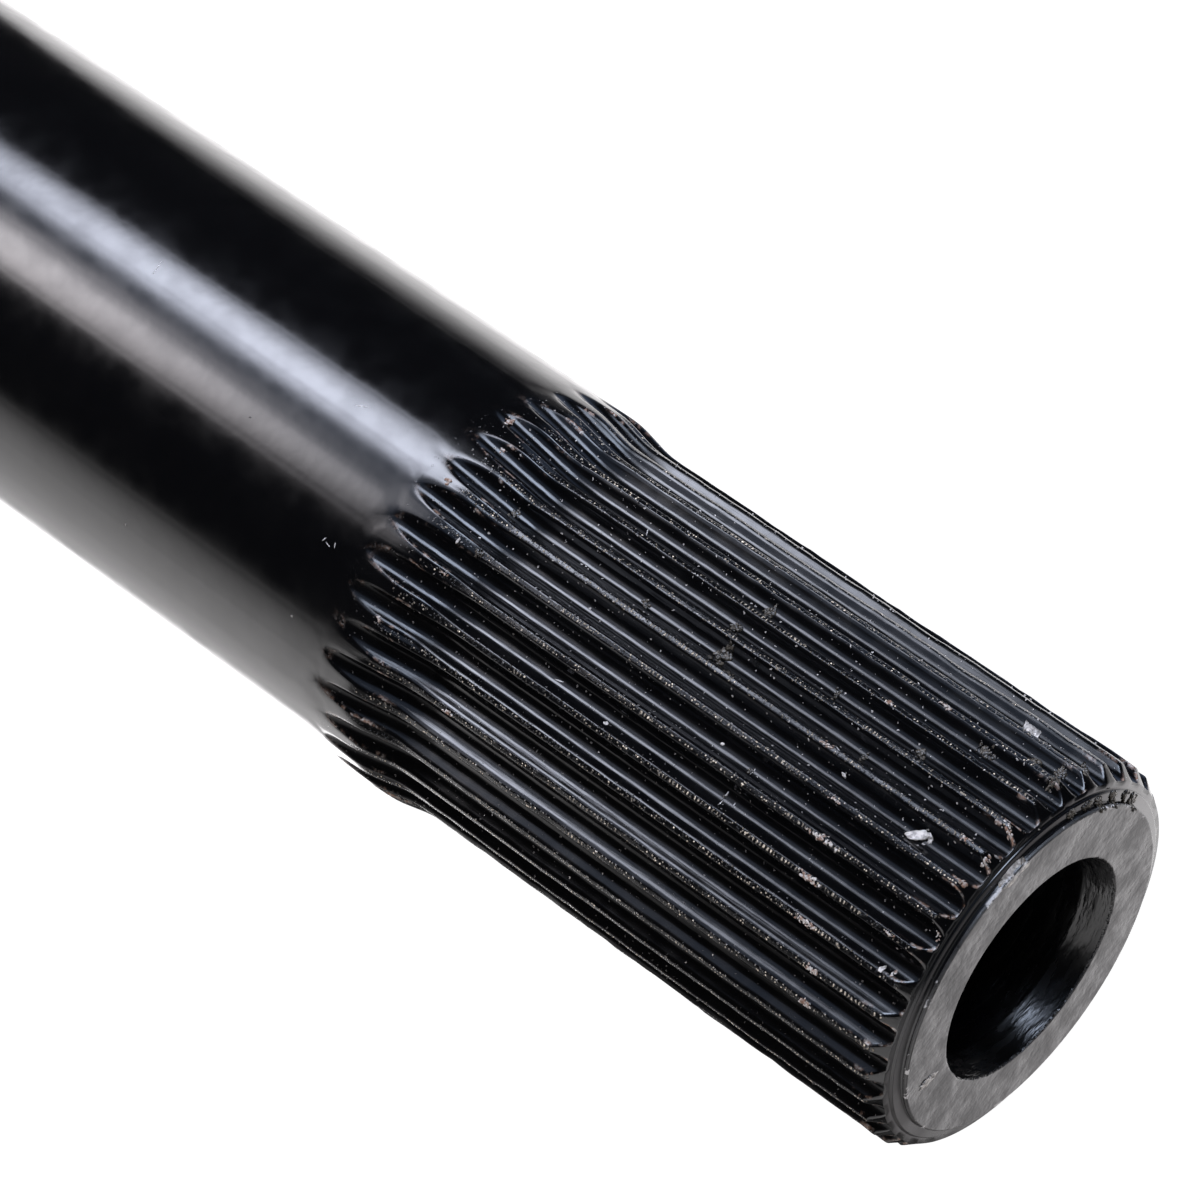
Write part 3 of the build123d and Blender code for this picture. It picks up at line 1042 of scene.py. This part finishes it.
class STEERINGSHAFT_OT_add_marks(bpy.types.Operator):
    """Add the flakes, lumps, rust and scratches"""

    bl_idname = "steeringshaft.add_marks"
    bl_label = "Add the marks"

    def execute(self, context):
        form = SerratedForm(context.scene.shaft_sizes)
        settings, colours = context.scene.shaft_studio, context.scene.shaft_colours
        seed = settings.mesh_seed
        flake = speck_material(
            "pale_flake", rgba(colours.dust, 0.55), rgba(colours.dust, 1.25), roughness=0.55, scale=5.0)
        lump = speck_material(
            "dark_lump", rgba(colours.grit, 0.02), rgba(colours.grit, 0.7), roughness=0.2, scale=6.0)
        rust = speck_material(
            "rusty_dirt", rgba(colours.rust, 0.8), rgba(colours.dust), roughness=0.7, scale=5.0)
        bare = speck_material(
            "bare_scratch", rgba(colours.metal, 0.5), rgba(colours.metal), roughness=0.35, scale=9.0)
        for name, side, face, material, add in (
            ("paint_flakes", PALE_FLAKES, FACE_FLAKES, flake, add_mark),
            ("dark_lumps", DARK_LUMPS, FACE_LUMPS, lump, add_crumbs),
            ("rust_spots", RUST_SPOTS, (), rust, add_crumbs),
            ("scratches", SCRATCHES, (), bare, add_mark),
        ):
            bm = bmesh.new()
            add_marks(bm, form, settings, side, place_on_side, seed, add)
            add_marks(bm, form, settings, face, place_on_face, seed + FACE_SEEDS, add)
            finished_piece(name, bm, material)
            seed += PIECE_SEEDS
        return {"FINISHED"}


# Studio


# Colours of the light, and the softboxes: name, turn from the camera towards -X in degrees, distance, half
# width with the share of it that has full strength, height of the peak, half height with its share, radiance
# and colour. None reaches below the lowest height.
COOL, SKY, BLUE = (0.90, 0.95, 1.12), (0.80, 0.92, 1.16), (0.50, 0.66, 1.0)
WARM, PLAIN = (1.0, 0.95, 0.98), (1.0, 0.98, 0.99)
SOFTBOXES = (
    ("key_strip", 38.5, 0.25, (0.064, 0.12), (0.118, 0.090, 0.12), 17.5, COOL),
    ("key_top", 38.5, 0.25, (0.064, 0.40), (0.295, 0.110, 0.40), 12.0, SKY),
    ("low_strip", 6, 0.25, (0.078, 0.15), (0.052, 0.100, 0.15), 13.0, WARM),
    ("low_wash", 22, 0.26, (0.110, 0.40), (0.070, 0.120, 0.40), 0.8, COOL),
    ("blue_wash", 14, 0.27, (0.110, 0.20), (0.170, 0.260, 0.30), 0.45, BLUE),
    ("blue_side", 112, 0.25, (0.200, 0.20), (0.225, 0.080, 0.30), 0.7, BLUE),
    ("side_panel", -103, 0.25, (0.250, 0.30), (0.055, 0.110, 0.72), 1.9, PLAIN),
    ("side_glow", -115, 0.25, (0.230, 0.30), (0.200, 0.160, 0.40), 0.35, PLAIN),
    ("mouth_panel", -80, 0.25, (0.230, 0.60), (0.420, 0.150, 0.60), 1.5, PLAIN),
    ("white_edge", -160, 0.20, (0.110, 0.60), (0.050, 0.125, 0.80), 8.0, PLAIN),
    ("back_panel", 157, 0.30, (0.270, 0.26), (0.200, 0.350, 0.60), 1.75, PLAIN),
    ("face_panel", 180, 0.35, (0.260, 0.50), (0.530, 0.180, 0.50), 0.62, WARM),
)
LOWEST_LIGHT = 0.001
UP = Vector((0, 0, 1))

# The level softbox overhead: its side, its height over the shaft and its radiance.
CEILING_SIZE = 0.9
CEILING_HEIGHT = 1.0
CEILING_RADIANCE = 0.5

# The world's strength for plain light and in reflections.
WORLD_LIGHT = 0.35
WORLD_REFLECTION = 0.012

# The floor's colours, of which the dim one shows only in reflections as a painted dark reflection, its glow
# in the camera's view, and the patches that glow only in reflections, painted reflections on the paint: turn
# from the camera and half angle in degrees, and strength. They fade between two distances in millimetres.
FLOOR_COLOUR = (0.86, 0.86, 0.86, 1)
FLOOR_REFLECTION = (0.02, 0.02, 0.02, 1)
FLOOR_GLOW = 0.7
PAINTED_REFLECTION_PATCHES = ((38.5, 20, 2.6), (-103, 50, 0.9), (160, 40, 0.9))
PATCH_REACH = (60.0, 190.0)


def lamp_direction(settings, turn):
    """Level direction from the shaft, turned from the camera's side towards -X."""
    bearing = -math.pi / 2 + settings.camera_azimuth - turn
    return Vector((math.cos(bearing), math.sin(bearing), 0))


def falloff_group():
    """How bright a softbox is at a point of it: full in its core, and dark at its edges."""
    nodes, given, result = new_group(
        "softbox_falloff",
        [("Centre", "NodeSocketVector", None), ("Across", "NodeSocketVector", None),
         ("Half width", "NodeSocketFloat", 0.1), ("Half height", "NodeSocketFloat", 0.1),
         ("Core across", "NodeSocketFloat", 0.4), ("Core up", "NodeSocketFloat", 0.4)],
        [("Mask", "NodeSocketFloat")])
    place = nodes.add("ShaderNodeNewGeometry").outputs["Position"]
    away = nodes.vector("SUBTRACT", place, given["Centre"])
    sideways = nodes.vector("DOT_PRODUCT", away, given["Across"])
    u = nodes.math("ABSOLUTE", nodes.math("DIVIDE", sideways, given["Half width"]))
    v = nodes.math("ABSOLUTE", nodes.math("DIVIDE", nodes.split(away)["Z"], given["Half height"]))
    fade = nodes.times(nodes.fade(u, given["Core across"], 1.0), nodes.fade(v, given["Core up"], 1.0))
    nodes.give(result["Mask"], fade)
    return nodes.tree


def add_area_lamp(name, width, height, radiance, place):
    """An area lamp that the camera doesn't see."""
    data = bpy.data.lights.new(name, "AREA")
    data.shape = "RECTANGLE"
    data.size = width
    data.size_y = height
    data.energy = radiance * math.pi * data.size * data.size_y
    lamp = bpy.data.objects.new(name, data)
    lamp.matrix_world = place
    lamp.visible_camera = False
    bpy.context.scene.collection.objects.link(lamp)
    return data


def add_softbox(name, settings, group, turn, distance, across, upwards, radiance, colour):
    """An upright area lamp facing the shaft, brightest at the height of its peak and in its middle."""
    half_width, core_across = across
    peak, half_height, core_up = upwards
    low, high = max(peak - half_height, LOWEST_LIGHT), peak + half_height
    direction = lamp_direction(settings, turn)
    sideways = Vector((-direction.y, direction.x, 0))
    turned_round = Matrix((UP.cross(direction), UP, direction)).transposed().to_4x4()
    place = Matrix.Translation(direction * distance + UP * (low + high) / 2) @ turned_round
    data = add_area_lamp(name, 2 * half_width, high - low, radiance, place)
    data.color = colour
    data.use_nodes = True
    nodes = Nodes(data.node_tree)
    emission = next(node for node in data.node_tree.nodes if node.type == "EMISSION")
    mask = use_group(
        nodes, group, Centre=tuple(direction * distance + Vector((0, 0, peak))), Across=tuple(sideways),
        Half_width=half_width, Half_height=half_height, Core_across=core_across, Core_up=core_up)
    nodes.give(emission.inputs["Strength"], mask["Mask"])


def add_world():
    """White to the camera, dim to reflections, and an even grey light on everything else."""
    world = bpy.data.worlds.new("studio_world")
    world.use_nodes = True
    nodes = Nodes(world.node_tree)
    background = next(node for node in world.node_tree.nodes if node.type == "BACKGROUND")
    background.inputs["Color"].default_value = (1, 1, 1, 1)
    path = nodes.add("ShaderNodeLightPath").outputs
    level = nodes.mix(path["Is Glossy Ray"], WORLD_LIGHT, WORLD_REFLECTION)
    nodes.give(background.inputs["Strength"], nodes.mix(path["Is Camera Ray"], level, 1.0))
    bpy.context.scene.world = world


def floor_material(settings):
    """White to the camera with the shaft's shadow on it. In reflections only, the floor is dim, a painted
    dark reflection, with three glowing patches close to the shaft. These are painted reflections that show
    the shaft's roundness from above."""
    material, nodes, shader, where = new_material("studio_floor")
    path = nodes.add("ShaderNodeLightPath").outputs
    way = nodes.vector("NORMALIZE", where)
    # Patches close to the shaft that glow only in reflections: painted reflections on the paint.
    patches = 0.0
    for turn, half_turn, strength in PAINTED_REFLECTION_PATCHES:
        towards = nodes.vector("DOT_PRODUCT", way, lamp_direction(settings, math.radians(turn)))
        lobe = nodes.step(towards, math.cos(math.radians(half_turn)), 1.0, 0.0, strength)
        patches = nodes.plus(patches, lobe)
    patches = nodes.times(patches, nodes.fade(nodes.vector("LENGTH", where), *PATCH_REACH))
    # Dark only in reflections: a painted dark reflection.
    colour = nodes.mix_colour(path["Is Glossy Ray"], FLOOR_COLOUR, FLOOR_REFLECTION)
    nodes.give(shader.inputs["Base Color"], colour)
    shader.inputs["Roughness"].default_value = 0.9
    shader.inputs["Specular IOR Level"].default_value = 0.0
    shader.inputs["Emission Color"].default_value = (1, 1, 1, 1)
    nodes.give(shader.inputs["Emission Strength"], nodes.plus(
        nodes.times(path["Is Camera Ray"], FLOOR_GLOW), nodes.times(path["Is Glossy Ray"], patches)))
    return material


def add_floor(settings):
    """The pale floor that the shaft stands on."""
    bm = bmesh.new()
    bmesh.ops.create_grid(bm, x_segments=1, y_segments=1, size=settings.floor_size / 2)
    mesh = bpy.data.meshes.new("floor")
    bm.to_mesh(mesh)
    bm.free()
    floor = bpy.data.objects.new("floor", mesh)
    mesh.materials.append(floor_material(settings))
    bpy.context.scene.collection.objects.link(floor)


# Width of the photograph's frame in the camera's own millimetres.
FRAME_WIDTH = 36


def add_camera(settings):
    """The camera of the photograph, placed from where it saw the middle of the end face."""
    azimuth, elevation, roll = settings.camera_azimuth, settings.camera_elevation, settings.camera_roll
    forward = Vector((-math.sin(azimuth) * math.cos(elevation), math.cos(azimuth) * math.cos(elevation),
                      -math.sin(elevation)))
    level_right = Vector((math.cos(azimuth), math.sin(azimuth), 0))
    level_up = level_right.cross(forward)
    right = level_right * math.cos(roll) + level_up * math.sin(roll)
    up = level_up * math.cos(roll) - level_right * math.sin(roll)
    face_middle = Vector((0, 0, LENGTH))
    place = face_middle - right * settings.face_right + up * settings.face_down - forward * settings.face_away
    data = bpy.data.cameras.new("photo_camera")
    data.lens = settings.focal_length
    data.sensor_width = FRAME_WIDTH
    data.clip_start = 0.01
    camera = bpy.data.objects.new("photo_camera", data)
    camera.matrix_world = Matrix.Translation(place) @ Matrix((right, up, -forward)).transposed().to_4x4()
    bpy.context.scene.collection.objects.link(camera)
    bpy.context.scene.camera = camera


class STEERINGSHAFT_OT_add_studio(bpy.types.Operator):
    """Add the floor, the softboxes and the camera"""

    bl_idname = "steeringshaft.add_studio"
    bl_label = "Add the studio"

    def execute(self, context):
        settings = context.scene.shaft_studio
        add_floor(settings)
        add_world()
        overhead = Matrix.Translation((0, 0, LENGTH + CEILING_HEIGHT))
        add_area_lamp("ceiling_softbox", CEILING_SIZE, CEILING_SIZE, CEILING_RADIANCE, overhead)
        group = falloff_group()
        for name, turn, *light in SOFTBOXES:
            add_softbox(name, settings, group, math.radians(turn), *light)
        add_camera(settings)
        return {"FINISHED"}


class STEERINGSHAFT_PT_panel(bpy.types.Panel):
    """Everything that the shaft is made of"""

    bl_label = "Steering shaft"
    bl_idname = "STEERINGSHAFT_PT_panel"
    bl_space_type = "VIEW_3D"
    bl_region_type = "UI"
    bl_category = "Steering shaft"

    def draw(self, context):
        layout = self.layout
        for settings in (context.scene.shaft_sizes, context.scene.shaft_colours, context.scene.shaft_studio):
            box = layout.box()
            for name in settings.__annotations__:
                box.prop(settings, name)
        for operator in OPERATORS:
            layout.operator(operator.bl_idname)


OPERATORS = (STEERINGSHAFT_OT_add_shaft, STEERINGSHAFT_OT_add_marks, STEERINGSHAFT_OT_add_studio)
CLASSES = (ShaftSizes, ShaftColours, StudioSettings, *OPERATORS, STEERINGSHAFT_PT_panel)


def register():
    for cls in CLASSES:
        bpy.utils.register_class(cls)
    bpy.types.Scene.shaft_sizes = PointerProperty(type=ShaftSizes)
    bpy.types.Scene.shaft_colours = PointerProperty(type=ShaftColours)
    bpy.types.Scene.shaft_studio = PointerProperty(type=StudioSettings)


def unregister():
    del bpy.types.Scene.shaft_studio
    del bpy.types.Scene.shaft_colours
    del bpy.types.Scene.shaft_sizes
    for cls in reversed(CLASSES):
        bpy.utils.unregister_class(cls)


def main():
    register()
    bpy.context.scene.view_settings.view_transform = "Standard"
    bpy.ops.steeringshaft.add_shaft()
    bpy.ops.steeringshaft.add_marks()
    bpy.ops.steeringshaft.add_studio()


if __name__ == "__main__":
    main()
